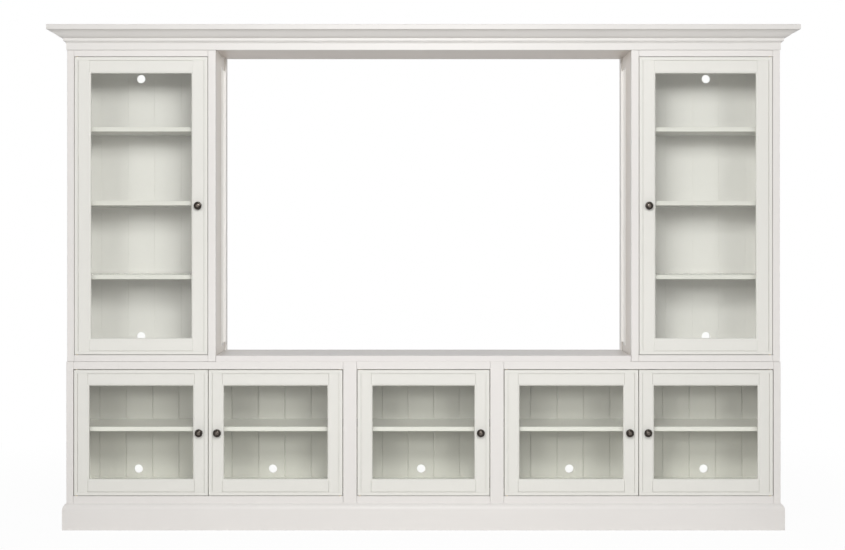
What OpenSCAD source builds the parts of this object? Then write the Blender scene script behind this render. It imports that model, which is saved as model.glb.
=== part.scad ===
// Entertainment wall unit: a long glazed base cabinet, two tall glazed hutches that stand on it,
// and a cornice that bridges them over the open bay for a television.
// The front looks along -Y, X runs to the right and Z up, with the floor at Z = 0.
// The origin is the middle of the whole unit's footprint.

/* [Overall] */
// Width of the base cabinet, side to side
body_w = 2856; // [2500:2:3200]
// Depth of the cabinets, face frame to rear edge
body_d = 380; // [330:5:480]
// Height of the base cabinet's top above the floor
base_h = 672; // [600:1:760]
// Height of the hutches
hutch_h = 1247; // [1100:1:1400]
// Width of one hutch
hutch_w = 594; // [520:1:700]
// Distance from the base's sides in to the hutches' sides
hutch_set = 3; // [1:0.5:10]
// Height of the cornice, from the frieze's lower edge to its top
cornice_h = 96; // [90:1:110]

/* [Boards] */
// Thickness of the case boards
board_t = 19; // [16:1:22]
// Thickness of the face frames and the doors
frame_t = 22; // [20:1:28]
// Thickness of the shelves
shelf_t = 18; // [15:1:25]
// Thickness of the back planks
back_t = 12; // [9:1:16]
// Distance from the rear edges to the back planks
back_inset = 6; // [2:1:12]
// Thickness of the platform that the television stands on
platform_t = 24.5; // [19:0.5:32]
// Gap between each end of the platform and the hutch beside it
platform_play = 1.5; // [0.5:0.25:3]
// Thickness of the dust cover on the cornice
cover_t = 9; // [6:1:12]
// Thickness of the glue line between joined pieces
glue_line = 0.1; // [0.05:0.05:0.2]

/* [Face frames] */
// Width of the end stiles, in the base and outside on the hutches
end_stile_w = 27.5; // [24:0.5:45]
// Width of the hutches' stiles beside the bay
bay_stile_w = 30.5; // [24:0.5:45]
// Width of the two mullions in the base
mullion_w = 54; // [40:1:80]
// Width of the opening between the mullions
centre_w = 534; // [450:2:620]
// Height of the base's top rail
base_top_rail_h = 30; // [26:1:50]
// Height of the base's bottom rail that shows above the plinth
base_low_rail_h = 30; // [26:1:50]
// Height of the hutches' bottom rails
hutch_low_rail_h = 27; // [24:1:50]
// Height of the hutches' top rails
hutch_top_rail_h = 26; // [24:1:50]
// Distance that the base's bottom rail runs down behind the plinth
rail_lap = 30; // [10:1:60]
// Bevel on the front arrises of stiles, rails and the platform
arris = 1; // [0.5:0.1:1.5]
// Gap under and above the hutches' face frames
frame_play = 0.8; // [0.3:0.1:2]
// Gap between the ends of a face frame's rails and its stiles
joint_play = 0.5; // [0.1:0.1:1]

/* [Floors and shelves] */
// Height of the base's floor boards above the edge of the door opening
base_floor_rise = 28; // [22:1:45]
// Height of the hutches' floor boards above the edge of the door opening
hutch_floor_rise = 27; // [22:1:45]
// Height of the base shelves' tops above the floor boards
base_shelf_rise = 245; // [180:1:300]
// Number of shelves in each hutch
hutch_shelves = 3; // [2:1:4]
// Height of the first hutch shelf's top above its floor board
hutch_shelf_rise = 293; // [240:1:320]
// Distance from one hutch shelf to the next
hutch_shelf_pitch = 297; // [240:1:320]
// Distance from the face frame's front to the shelves' front edges
shelf_setback = 42; // [38:1:80]
// Clearance at the ends of a shelf
shelf_play = 1; // [0.5:0.25:2]
// Bevel on the arrises of the shelves' front edges
shelf_bevel = 1.5; // [0.5:0.25:3]
// Radius of the shelf pins
shelf_pin_r = 2.5; // [2:0.25:3]
// Length of a shelf pin outside its board
shelf_pin_out = 8; // [6:0.5:10]
// Length of a shelf pin inside its board
shelf_pin_in = 7; // [5:0.5:7.5]
// Distance from a shelf's front or rear edge to its pins
shelf_pin_edge = 38; // [25:1:60]

/* [Back planks] */
// Width of a plank in the wide base compartments and in the hutches
plank_w = 111; // [90:1:130]
// Width of a plank in the centre compartment
centre_plank_w = 108; // [90:1:130]
// Least width of the two ripped planks at the ends of a back
rip_min = 30; // [20:1:45]
// Bevel on the front edges of a plank in the base
base_plank_bevel = 1.5; // [0.5:0.25:4]
// Gap between the front edges of two planks in the base
base_plank_gap = 2; // [0.1:0.1:2.5]
// Bevel on the front edges of a plank in the hutches
hutch_plank_bevel = 0.5; // [0.25:0.25:4]
// Gap between the front edges of two planks in the hutches
hutch_plank_gap = 0.1; // [0.1:0.1:2.5]
// Distance that the base's planks and cable holes lie to the left of each back's middle
plank_left = 10; // [0:1:20]
// Distance that the planks of the wide backs lie nearer to the unit's middle than those of the centre back
plank_lean = 8; // [0:1:15]
// Length of a plank's tongue
tongue_l = 5; // [3:0.5:8]
// Thickness of a plank's tongue
tongue_t = 4; // [3:0.25:5]
// Clearance round a tongue in its groove
tongue_play = 0.25; // [0.1:0.05:0.5]
// Distance that the base backs run down past the floor boards
back_drop = 90; // [40:5:120]

/* [Cable holes] */
// Radius of the cable holes
cable_r = 17.5; // [12:0.5:24]
// Distance from a base floor to the cable holes' centres
cable_rise = 35; // [26:1:60]
// Distance from a hutch's floor to its lower cable hole's centre
hutch_cable_rise = 28; // [22:1:60]
// Distance from a hutch's ceiling down to its upper cable hole
cable_drop = 66; // [40:1:90]
// Distance from the base's side to its outer cable holes
cable_outer_x = 242; // [200:1:280]
// Distance from a partition's middle to the inner cable holes
cable_inner_x = 328; // [300:1:370]
// Distance from a hutch's outer side to its cable holes
hutch_cable_x = 239.5; // [200:0.5:280]

/* [Doors] */
// Gap round each door
door_gap = 3; // [2:0.25:4]
// Gap under a base door
low_gap = 2; // [1.5:0.25:4]
// Gap round a hutch door
hutch_gap = 2; // [1.5:0.25:4]
// Clearance behind a door that its hinge edge swings through
swing_gap = 3; // [2.75:0.25:5]
// Width of the mitred band round a door's edge
band_w = 13.5; // [12:0.5:20]
// Distance that the stiles and rails lie behind the band
face_drop = 2; // [0.5:0.25:2.5]
// Width of the line between the band and the frame
line_w = 2; // [0.6:0.2:3]
// Depth of that line
line_d = 3.5; // [0.5:0.25:5]
// Distance from a base door's side edges to its stiles' inner edges
stile_joint = 54.5; // [48:0.5:70]
// Distance from a base door's lower edge to its bottom rail's upper edge
low_joint = 60; // [48:0.5:70]
// Distance from a base door's upper edge to its top rail's lower edge
top_joint = 57.5; // [48:0.5:70]
// Width of a hutch door's stiles and rails, out to its edges
hutch_joint = 59.5; // [48:0.5:70]
// Gap between a base door's rails and its stiles
base_joint_gap = 0.5; // [0.1:0.1:1]
// Width of the moulded edge round the glass
stick_w = 6; // [4:0.5:9]
// Step at the foot of that moulded edge
quirk = 1; // [0.4:0.2:1.6]
// Thickness of the lip that the glass lies against
lip_t = 1; // [0.6:0.2:2]
// Distance that the glass reaches behind the frame's edge
glass_lap = 8; // [6:0.5:10]
// Clearance at the edges of the glass
glass_play = 1; // [0.5:0.25:2]
// Thickness of the glass
glass_t = 4; // [3:0.5:5]
// Distance from a glazing stop's inner edge to the frame's inner edge
stop_set = 1; // [0.5:0.25:2]

/* [Hinges and catches] */
// Distance from the hinge axis to the door's edge
pivot_in = 9.5; // [8:0.5:11]
// Distance from the hinge axis to the door's front face
pivot_back = 6; // [6:0.25:8]
// Radius of the pivot pins
pivot_r = 2.5; // [2:0.25:3]
// Length of a pivot pin inside the door
pivot_in_door = 20; // [14:1:30]
// Length of a pivot pin inside its bush
pivot_in_bush = 8; // [6:0.5:12]
// Wall of the pivot bushes
bush_wall = 1; // [0.75:0.25:1.5]
// Width of the pivot bushes' flanges
bush_flange = 1.5; // [1:0.25:2]
// Thickness of the upper bushes' flanges
flange_t = 1; // [0.5:0.25:1.5]
// Running clearance of a pin in its bush
pin_fit = 0.06; // [0.03:0.01:0.1]
// Clearance between a pressed piece and its hole
press_gap = 0.02; // [0.01:0.01:0.05]
// Play between a door and the bush that it stands on
thrust_gap = 0.2; // [0.1:0.05:0.5]
// Width of a catch and of its strike plate
catch_w = 40; // [30:1:50]
// Depth of a catch
catch_d = 14; // [10:1:15]
// Distance from a door's free edge to the middle of its catch
catch_in = 62; // [45:1:90]
// Distance that a catch reaches down over its door
catch_lap = 13; // [10:1:16]
// Thickness of a strike plate
strike_t = 1.2; // [0.8:0.1:2]
// Gap between a catch and its strike plate
catch_gap = 0.3; // [0.2:0.05:1]

/* [Knobs] */
// Radius of a knob
knob_r = 16; // [12:0.5:18]
// Distance that a knob stands out from its stile
knob_out = 26; // [20:0.5:27]
// Radius of the round rim of a knob
knob_rim = 3.5; // [2:0.25:5]
// Rise of the domed face inside that rim
knob_rise = 3; // [1:0.25:4]
// Radius of the ring cut into the domed face
knob_ring_r = 8; // [5:0.5:10]
// Radius of the neck of a knob
knob_neck_r = 6; // [4:0.5:8]
// Radius of the screw that holds a knob
screw_r = 2; // [1.5:0.25:2.5]

/* [Plinth] */
// Height of the plinth
plinth_h = 105; // [90:1:130]
// Distance that the plinth stands out from the cabinet
plinth_out = 15; // [12:1:24]
// Height of the round on the plinth's top edge
plinth_round_h = 24; // [18:1:35]
// Width of the flat left at the top of that round
plinth_flat = 2; // [1:0.25:4]

/* [Cornice] */
// Distance that the frieze stands out from the hutches
frieze_out = 3; // [2:0.5:6]
// Thickness of the frieze boards
frieze_t = 22; // [18:1:26]
// Height of the frieze that shows below the crown moulding
frieze_show = 25; // [16:1:30]
// Distance that the crown moulding stands out from the hutches
crown_out = 70; // [60:1:85]
// Height of the flat band at the crown's top
fascia_h = 20; // [12:1:22]
// Radius of the round arris on that band
fascia_r = 3; // [1:0.5:5]
// Width of the flat top of the crown moulding
crown_top_w = 20; // [14:1:30]
// Height of the bead under the crown's slope
bead_h = 12; // [10:0.5:16]
// Distance that the bead stands out from the hutches
bead_out = 14; // [12:0.5:18]
// Radius of the bead's lower arris
bead_round = 3; // [1:0.5:5]
// Height of the quirk cut in under the bead
bead_quirk_h = 3; // [1:0.5:4]
// Depth of that quirk behind the small cove
bead_quirk_d = 3; // [1:0.5:4]
// Distance that the small cove under the quirk stands out from the hutches
cove_out = 9; // [8:0.5:11]
// Rise of that cove
cove_h = 6; // [4:0.5:14]
// Distance from the crown's top down to the underside of the dust cover
cover_drop = 29; // [24:1:34]
// Rise and fall of the wave in the crown's slope
wave = 2.2; // [1:0.1:3.5]
// Number of ribs between the deck and the dust cover
rib_count = 7; // [4:1:10]
// Distance from the middle to each wall fixing hole
wall_hole_x = 400; // [300:10:600]
// Radius of the wall fixing holes
wall_hole_r = 3; // [2:0.25:4]

/* [Bay] */
// Depth of the cleats at the rear of the bay
cleat_d = 42; // [30:1:60]
// Distance that the cleats stand out into the bay
cleat_out = 6; // [4:0.5:10]
// Distance that the battens in front of them stand out
batten_out = 17; // [9:0.5:20]
// Depth of the battens
batten_d = 75; // [60:1:110]
// Distance from the bay's rear to the battens
batten_back = 105; // [50:1:160]
// Gap between a batten and the platform
batten_low_gap = 28; // [15:1:60]
// Gap between a batten and the deck
batten_top_gap = 51; // [30:1:80]
// Radius of the connecting bolts
bolt_r = 3; // [2.5:0.25:4]
// Radius of the connecting bolts' heads
bolt_head_r = 6.5; // [5:0.25:8]
// Height of the connecting bolts' heads, sunk flush
bolt_head_h = 4; // [3:0.5:5]
// Length of a platform bolt below its head
bolt_l = 40; // [34:1:50]
// Distance from the boards' edges to the connecting bolts
bolt_edge = 60; // [40:5:90]

/* [Hidden] */
$fn = 48;

front_y = (crown_out - body_d) / 2;
rear_y = front_y + body_d;
side_x = body_w / 2;
hutch_side_x = side_x - hutch_set;
bay_x = hutch_side_x - hutch_w;
top_z = base_h + hutch_h;
unit_h = top_z + cornice_h;

frame_y = front_y + frame_t;
inside_y = frame_y + swing_gap;
back_y = rear_y - back_inset - back_t;
shelf_y = front_y + shelf_setback;
bolt_y = [frame_y + bolt_edge, back_y - bolt_edge];

mullion_x = (centre_w + mullion_w) / 2;
part_in_x = mullion_x - board_t / 2;
part_out_x = mullion_x + board_t / 2;
wide_x0 = centre_w / 2 + mullion_w;
wide_x1 = side_x - end_stile_w;
hutch_x0 = bay_x + bay_stile_w;
hutch_x1 = hutch_side_x - end_stile_w;
case_x = side_x - board_t;
hutch_in_x = bay_x + board_t;
hutch_case_x = hutch_side_x - board_t;

base_door_z0 = plinth_h + base_low_rail_h;
base_door_z1 = base_h - base_top_rail_h;
hutch_door_z0 = base_h + hutch_low_rail_h;
hutch_door_z1 = top_z - hutch_top_rail_h;
base_floor_z = base_door_z0 + base_floor_rise;
base_ceiling_z = base_h - board_t;
hutch_floor_z = hutch_door_z0 + hutch_floor_rise;
hutch_ceiling_z = top_z - board_t;
platform_z = base_h + platform_t;
base_shelf_z = base_floor_z + base_shelf_rise;

wide_door_w = (wide_x1 - wide_x0 - 3 * door_gap) / 2;
centre_door_w = centre_w - 2 * door_gap;
hutch_door_w = hutch_x1 - hutch_x0 - 2 * hutch_gap;
base_door_h = base_door_z1 - base_door_z0 - low_gap - door_gap;
hutch_door_h = hutch_door_z1 - hutch_door_z0 - 2 * hutch_gap;

rabbet_in = stick_w - glass_lap - glass_play;
lip_y = face_drop + quirk + stick_w + lip_t;
stop_y = lip_y + glass_t;

pivot_hole_r = pivot_r + press_gap;
bush_in_r = pivot_r + pin_fit;
bush_r = bush_in_r + bush_wall;

frieze_x = hutch_side_x + frieze_out;
frieze_y = front_y - frieze_out;
frieze_in_x = frieze_x - frieze_t;
frieze_in_y = frieze_y + frieze_t;
deck_z = top_z + board_t;
slope_top_z = unit_h - fascia_h;
crown_z = top_z + frieze_show;
cove_z = crown_z + cove_h;
bead_z = cove_z + bead_quirk_h;
bead_top_z = bead_z + bead_h;
cover_z = unit_h - cover_drop;
mitre_m = 200;

// Distances from a door's edges in to its stiles', bottom rail's and top rail's inner edges, and its joints' gap
base_joints = [stile_joint, low_joint, top_joint, base_joint_gap];
hutch_joints = [hutch_joint, hutch_joint, hutch_joint, glue_line];
// Gaps under and above a door
base_gaps = [low_gap, door_gap];
hutch_gaps = [hutch_gap, hutch_gap];
base_low_z = base_door_z0 + low_gap;
hutch_low_z = hutch_door_z0 + hutch_gap;

// One row a door: left edge, lower edge, width, height, 1 where it hinges on the right, joints, gaps
DOORS = [
    [-wide_x1 + door_gap, base_low_z, wide_door_w, base_door_h, 0, base_joints, base_gaps],
    [-wide_x0 - door_gap - wide_door_w, base_low_z, wide_door_w, base_door_h, 1, base_joints, base_gaps],
    [-centre_w / 2 + door_gap, base_low_z, centre_door_w, base_door_h, 0, base_joints, base_gaps],
    [wide_x0 + door_gap, base_low_z, wide_door_w, base_door_h, 0, base_joints, base_gaps],
    [wide_x1 - door_gap - wide_door_w, base_low_z, wide_door_w, base_door_h, 1, base_joints, base_gaps],
    [-hutch_x1 + hutch_gap, hutch_low_z, hutch_door_w, hutch_door_h, 0, hutch_joints, hutch_gaps],
    [hutch_x0 + hutch_gap, hutch_low_z, hutch_door_w, hutch_door_h, 1, hutch_joints, hutch_gaps]
];

PAINT = [0.90, 0.89, 0.87];
INSIDE = [0.84, 0.84, 0.80];
TRIM = [0.94, 0.93, 0.90];
PANE = [0.70, 0.74, 0.70, 0.35];
BRONZE = [0.16, 0.13, 0.12];
STEEL = [0.62, 0.62, 0.62];
BRASS = [0.75, 0.62, 0.35];
CATCH = [0.93, 0.92, 0.90];
RAW = [0.80, 0.70, 0.55];

// A block between two values on each axis
module slab(x, y, z) {
    translate([x[0], y[0], z[0]])
        cube([x[1] - x[0], y[1] - y[0], z[1] - z[0]]);
}

// The same piece on the left and on the right
module both_sides() {
    children();
    mirror([1, 0, 0]) children();
}

// A moulding round the front and the sides at x, mitred, from a section drawn as (distance out, height)
module mitred_front(x) {
    intersection() {
        translate([-x - mitre_m, front_y, 0])
            rotate([90, 0, 90])
                linear_extrude(2 * (x + mitre_m)) mirror([1, 0]) children();
        linear_extrude(unit_h)
            polygon([
                [-x - mitre_m, front_y - mitre_m - glue_line],
                [x + mitre_m, front_y - mitre_m - glue_line],
                [x - mitre_m, front_y + mitre_m - glue_line],
                [-x + mitre_m, front_y + mitre_m - glue_line]
            ]);
    }
}

module mitred_return(x) {
    intersection() {
        translate([x, rear_y, 0])
            rotate([90, 0, 0]) linear_extrude(body_d + mitre_m) children();
        linear_extrude(unit_h)
            polygon([
                [x + mitre_m, front_y - mitre_m],
                [x + mitre_m, rear_y],
                [x - mitre_m, rear_y],
                [x - mitre_m, front_y + mitre_m]
            ]);
    }
}

module mitred_moulding(x) {
    mitred_front(x) children();
    both_sides() mitred_return(x) children();
}

// A stile or rail of a face frame between two values of x and z, its front arrises bevelled
module frame_piece(x, z) {
    intersection() {
        translate([0, 0, z[0]])
            linear_extrude(z[1] - z[0])
                polygon([
                    [x[0], frame_y], [x[0], front_y + arris], [x[0] + arris, front_y],
                    [x[1] - arris, front_y], [x[1], front_y + arris], [x[1], frame_y]
                ]);
        translate([x[0], 0, 0])
            rotate([90, 0, 90])
                linear_extrude(x[1] - x[0])
                    polygon([
                        [frame_y, z[0]], [front_y + arris, z[0]], [front_y, z[0] + arris],
                        [front_y, z[1] - arris], [front_y + arris, z[1]], [frame_y, z[1]]
                    ]);
    }
}

// Base cabinet
module plinth_section() {
    reach = plinth_out - plinth_flat;
    r = (reach * reach + plinth_round_h * plinth_round_h) / (2 * reach);
    round_z = plinth_h - plinth_round_h;
    square([plinth_out, round_z]);
    intersection() {
        translate([0, round_z]) square([plinth_out, plinth_round_h]);
        translate([plinth_out - r, round_z]) circle(r, $fn = 120);
    }
}

module plinth() {
    color(PAINT) mitred_moulding(side_x) plinth_section();
}

module plinth_rails() {
    rail_z = [0, base_floor_z - board_t];
    for (y = [inside_y, back_y - board_t]) {
        color(RAW) slab([-part_in_x, part_in_x], [y, y + board_t], rail_z);
        color(RAW) both_sides() slab([part_out_x, case_x], [y, y + board_t], rail_z);
    }
}

module base_sides() {
    color(PAINT)
        both_sides()
            difference() {
                slab([case_x, side_x], [frame_y, rear_y], [0, base_ceiling_z]);
                pin_holes(case_x, 1, [base_shelf_z]);
            }
}

module base_partitions() {
    color(INSIDE)
        both_sides()
            difference() {
                slab([part_in_x, part_out_x], [frame_y, rear_y], [0, base_ceiling_z]);
                pin_holes(part_in_x, 1, [base_shelf_z]);
                pin_holes(part_out_x, -1, [base_shelf_z]);
            }
}

module base_floors() {
    z = [base_floor_z - board_t, base_floor_z];
    color(INSIDE) slab([-part_in_x, part_in_x], [inside_y, back_y], z);
    color(INSIDE) both_sides() slab([part_out_x, case_x], [inside_y, back_y], z);
}

module base_top() {
    color(PAINT) slab([-side_x, side_x], [frame_y, rear_y], [base_ceiling_z, base_h]);
}

module base_stiles() {
    color(PAINT) both_sides() {
        frame_piece([wide_x1, side_x], [0, base_h]);
        frame_piece([centre_w / 2, wide_x0], [0, base_h]);
    }
}

module base_rails() {
    rows = [[plinth_h - rail_lap, base_door_z0], [base_door_z1, base_h]];
    color(PAINT)
        difference() {
            for (z = rows) {
                frame_piece([joint_play - centre_w / 2, centre_w / 2 - joint_play], z);
                both_sides() frame_piece([wide_x0 + joint_play, wide_x1 - joint_play], z);
            }
            for (d = [0:4]) bush_holes(DOORS[d]);
        }
}

module base_back_left() {
    color(INSIDE)
        planked_back([-case_x, -part_out_x], base_back_z, wide_planks, plank_w,
            plank_lean - plank_left, base_plank_edge,
            [for (x = wide_cable_x) [-x - plank_left, base_floor_z + cable_rise]]);
}

module base_back_centre() {
    color(INSIDE)
        planked_back([-part_in_x, part_in_x], base_back_z, centre_planks, centre_plank_w,
            -plank_left, base_plank_edge,
            [[-plank_left, base_floor_z + cable_rise]]);
}

module base_back_right() {
    color(INSIDE)
        planked_back([part_out_x, case_x], base_back_z, wide_planks, plank_w,
            -plank_lean - plank_left, base_plank_edge,
            [for (x = wide_cable_x) [x - plank_left, base_floor_z + cable_rise]]);
}

module base_shelves() {
    color(INSIDE) shelf(-part_in_x, part_in_x, base_shelf_z);
    color(INSIDE) shelf(part_out_x, case_x, base_shelf_z);
    color(INSIDE) shelf(-case_x, -part_out_x, base_shelf_z);
}

// Backs of tongued and grooved planks with bevelled front edges
base_back_z = [base_floor_z - board_t - back_drop, base_ceiling_z];
hutch_back_z = [base_h, top_z];
wide_cable_x = [side_x - cable_outer_x, mullion_x + cable_inner_x];
wide_planks = floor((case_x - part_out_x - 2 * rip_min) / plank_w);
hutch_planks = floor((hutch_case_x - hutch_in_x - 2 * rip_min) / plank_w);
centre_planks = 2 * floor(((2 * part_in_x - 2 * rip_min) / centre_plank_w - 1) / 2) + 1;

module plank_section(w, edge, tongue, groove) {
    tongue_y = (back_t - tongue_t) / 2;
    bevel = edge[0];
    shoulder = w - edge[1];
    difference() {
        union() {
            polygon([
                [bevel, 0], [shoulder - bevel, 0], [shoulder, bevel], [shoulder, tongue_y],
                [w, tongue_y], [w, back_t], [0, back_t], [0, bevel]
            ]);
            if (tongue) translate([w - 1, tongue_y]) square([tongue_l + 1, tongue_t]);
        }
        if (groove)
            translate([-1, tongue_y - tongue_play])
                square([tongue_l + tongue_play + 1, tongue_t + 2 * tongue_play]);
    }
}

// Bevel and gap of the planks' front edges
base_plank_edge = [base_plank_bevel, base_plank_gap];
hutch_plank_edge = [hutch_plank_bevel, hutch_plank_gap];

// Planks of one width between two ripped ones, moved to the right by shift from the back's middle
module planked_back(x, z, count, pitch, shift, edge, holes) {
    rip = (x[1] - x[0] - count * pitch) / 2;
    edges = [x[0], for (i = [0:count]) x[0] + rip + shift + i * pitch, x[1]];
    for (i = [0:count + 1])
        difference() {
            translate([edges[i] + glue_line, back_y, z[0]])
                linear_extrude(z[1] - z[0])
                    plank_section(edges[i + 1] - edges[i] - glue_line, edge, i <= count, i > 0);
            for (h = holes)
                if (h[0] + cable_r > edges[i] && h[0] - cable_r < edges[i + 1] + tongue_l)
                    translate([h[0], back_y - 1, h[1]])
                        rotate([-90, 0, 0]) cylinder(r = cable_r, h = back_t + 2);
        }
}

// Shelves, each on four pins
hutch_shelf_z = [for (i = [0:hutch_shelves - 1]) hutch_floor_z + hutch_shelf_rise + i * hutch_shelf_pitch];

module shelf(x0, x1, top) {
    depth = back_y - shelf_play - shelf_y;
    translate([x0 + shelf_play, shelf_y, top - shelf_t])
        rotate([90, 0, 90])
            linear_extrude(x1 - x0 - 2 * shelf_play)
                polygon([
                    [shelf_bevel, 0], [depth, 0], [depth, shelf_t],
                    [shelf_bevel, shelf_t], [0, shelf_t - shelf_bevel], [0, shelf_bevel]
                ]);
}

// The pins of shelves with tops at the given heights, or their holes, in a wall at x, its board on side dir
module pin_row(x, dir, tops, extra, out) {
    for (top = tops)
        for (y = [shelf_y + shelf_pin_edge, back_y - shelf_play - shelf_pin_edge])
            translate([x - dir * out, y, top - shelf_t - shelf_pin_r])
                rotate([0, dir * 90, 0])
                    cylinder(r = shelf_pin_r - press_gap + extra, h = out + shelf_pin_in + extra, $fn = 24);
}

module pin_holes(x, dir, tops) {
    pin_row(x, dir, tops, press_gap, 1);
}

module shelf_pins() {
    color(BRASS)
        both_sides() {
            pin_row(case_x, 1, [base_shelf_z], 0, shelf_pin_out);
            pin_row(hutch_case_x, 1, hutch_shelf_z, 0, shelf_pin_out);
            pin_row(part_in_x, 1, [base_shelf_z], 0, shelf_pin_out);
            pin_row(part_out_x, -1, [base_shelf_z], 0, shelf_pin_out);
            pin_row(hutch_in_x, -1, hutch_shelf_z, 0, shelf_pin_out);
        }
}

// Hutches
module hutch_case() {
    board_x = [hutch_in_x + glue_line, hutch_case_x - glue_line];
    color(PAINT)
        difference() {
            slab([hutch_case_x, hutch_side_x], [frame_y, rear_y], [base_h, top_z]);
            pin_holes(hutch_case_x, 1, hutch_shelf_z);
        }
    color(PAINT)
        difference() {
            slab([bay_x, hutch_in_x], [frame_y, rear_y], [base_h, top_z]);
            pin_holes(hutch_in_x, -1, hutch_shelf_z);
            platform_bolts(press_gap, 1);
        }
    color(INSIDE)
        slab(board_x, [inside_y, back_y], [hutch_floor_z - board_t, hutch_floor_z]);
    color(INSIDE)
        difference() {
            slab(board_x, [frame_y, back_y], [hutch_ceiling_z, top_z]);
            deck_bolts(press_gap, 1);
        }
}

module hutch_frame(door) {
    z = [base_h + frame_play, top_z - frame_play];
    color(PAINT) frame_piece([hutch_x1, hutch_side_x], z);
    color(PAINT) frame_piece([bay_x, hutch_x0], z);
    color(PAINT)
        difference() {
            for (rail_z = [[z[0], hutch_door_z0], [hutch_door_z1, z[1]]])
                frame_piece([hutch_x0 + joint_play, hutch_x1 - joint_play], rail_z);
            bush_holes(door);
        }
}

module hutch_back(x, side) {
    hole_x = side * (hutch_side_x - hutch_cable_x);
    color(INSIDE)
        planked_back(x, hutch_back_z, hutch_planks, plank_w, 0, hutch_plank_edge,
            [[hole_x, hutch_floor_z + hutch_cable_rise], [hole_x, hutch_ceiling_z - cable_drop]]);
}

module hutch_shelf_set() {
    for (z = hutch_shelf_z) color(INSIDE) shelf(hutch_in_x, hutch_case_x, z);
}

module hutch_left_case() { mirror([1, 0, 0]) hutch_case(); }
module hutch_left_frame() { mirror([1, 0, 0]) hutch_frame(DOORS[6]); }
module hutch_left_back() { hutch_back([-hutch_case_x, -hutch_in_x], -1); }
module hutch_left_shelves() { mirror([1, 0, 0]) hutch_shelf_set(); }
module hutch_right_case() { hutch_case(); }
module hutch_right_frame() { hutch_frame(DOORS[6]); }
module hutch_right_back() { hutch_back([hutch_in_x, hutch_case_x], 1); }
module hutch_right_shelves() { hutch_shelf_set(); }

// Television bay, its platform notched round the cleats
cleat_x = bay_x - cleat_out;

module tv_platform() {
    end_x = bay_x - platform_play;
    color(PAINT)
        difference() {
            translate([-end_x, 0, 0])
                rotate([90, 0, 90])
                    linear_extrude(2 * end_x)
                        polygon([
                            [rear_y, base_h], [front_y + arris, base_h], [front_y, base_h + arris],
                            [front_y, platform_z - arris], [front_y + arris, platform_z], [rear_y, platform_z]
                        ]);
            both_sides()
                slab([cleat_x, bay_x + 1], [rear_y - cleat_d, rear_y + 1], [base_h - 1, platform_z + 1]);
            both_sides() platform_bolts(press_gap, 0);
        }
}

// A batten with a hollow front, hollowed at both ends, and a plain cleat behind it, on each side of the bay
module bay_battens() {
    batten_z = [platform_z + batten_low_gap, top_z - batten_top_gap];
    batten_y1 = rear_y - batten_back;
    batten_y0 = batten_y1 - batten_d;
    hollow_r = batten_out - 1;
    color(PAINT) both_sides() {
        slab([cleat_x, bay_x], [rear_y - cleat_d, rear_y], [base_h, top_z]);
        difference() {
            slab([bay_x - batten_out, bay_x], [batten_y0, batten_y1], batten_z);
            translate([bay_x - batten_out, batten_y0, batten_z[0] - 1])
                cylinder(r = hollow_r, h = batten_z[1] - batten_z[0] + 2);
            for (end = [0, 1])
                translate([bay_x - batten_out, batten_y0 - 1, batten_z[end]])
                    rotate([-90, 0, 0]) cylinder(r = hollow_r, h = batten_d + 2);
        }
    }
}

// Cornice
module frieze() {
    color(TRIM)
        mitred_moulding(hutch_side_x)
            translate([frieze_out - frieze_t, top_z]) square([frieze_t, cover_z - top_z]);
}

module crown_section() {
    foot = 1;
    low = [bead_out - quirk, bead_top_z - quirk];
    high = [crown_out - 2, slope_top_z];
    way = high - low;
    across = [way[1], -way[0]] / norm(way);
    steps = 14;
    slope = [for (i = [0:steps]) low + way * i / steps + across * wave * sin(360 * i / steps)];
    difference() {
        translate([frieze_out, crown_z]) square([cove_out - frieze_out, cove_h]);
        translate([frieze_out + foot + cove_h, crown_z]) circle(cove_h);
    }
    translate([frieze_out, cove_z]) square([cove_out - bead_quirk_d - frieze_out, bead_quirk_h]);
    translate([frieze_out, bead_z]) square([bead_out - bead_round - frieze_out, bead_h]);
    translate([frieze_out, bead_z + bead_round]) square([bead_out - frieze_out, bead_h - bead_round]);
    translate([bead_out - bead_round, bead_z + bead_round]) circle(bead_round);
    difference() {
        union() {
            polygon(concat([[frieze_out, low[1]]], slope, [[frieze_out, slope_top_z + 1]]));
            translate([frieze_out, slope_top_z]) square([crown_out - fascia_r - frieze_out, fascia_h]);
            translate([crown_out - fascia_r, slope_top_z]) square([fascia_r, fascia_h - fascia_r]);
            translate([crown_out - fascia_r, unit_h - fascia_r]) circle(fascia_r);
        }
        polygon([
            [frieze_out - 1, cover_z + 1], [frieze_out, cover_z + 1],
            [crown_out - crown_top_w, unit_h], [crown_out - crown_top_w, unit_h + 1],
            [frieze_out - 1, unit_h + 1]
        ]);
    }
}

module crown_moulding() {
    color(TRIM) mitred_moulding(hutch_side_x) crown_section();
}

module bridge_deck() {
    color(PAINT)
        difference() {
            slab([-frieze_in_x, frieze_in_x], [frieze_in_y, rear_y], [top_z, deck_z]);
            both_sides() deck_bolts(press_gap, 0);
        }
}

module bridge_ribs() {
    span = 2 * frieze_in_x - board_t;
    color(RAW)
        for (i = [0:rib_count - 1]) {
            x = -frieze_in_x + i * span / (rib_count - 1);
            slab([x, x + board_t], [frieze_in_y, rear_y - board_t], [deck_z, cover_z]);
        }
}

module wall_rail() {
    color(RAW)
        difference() {
            slab([-frieze_in_x, frieze_in_x], [rear_y - board_t, rear_y], [deck_z, cover_z]);
            both_sides()
                translate([wall_hole_x, rear_y - board_t - 1, (deck_z + cover_z) / 2])
                    rotate([-90, 0, 0]) cylinder(r = wall_hole_r, h = board_t + 2, $fn = 24);
        }
}

module dust_cover() {
    color(RAW) slab([-frieze_x, frieze_x], [frieze_y, rear_y], [cover_z, cover_z + cover_t]);
}

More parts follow.
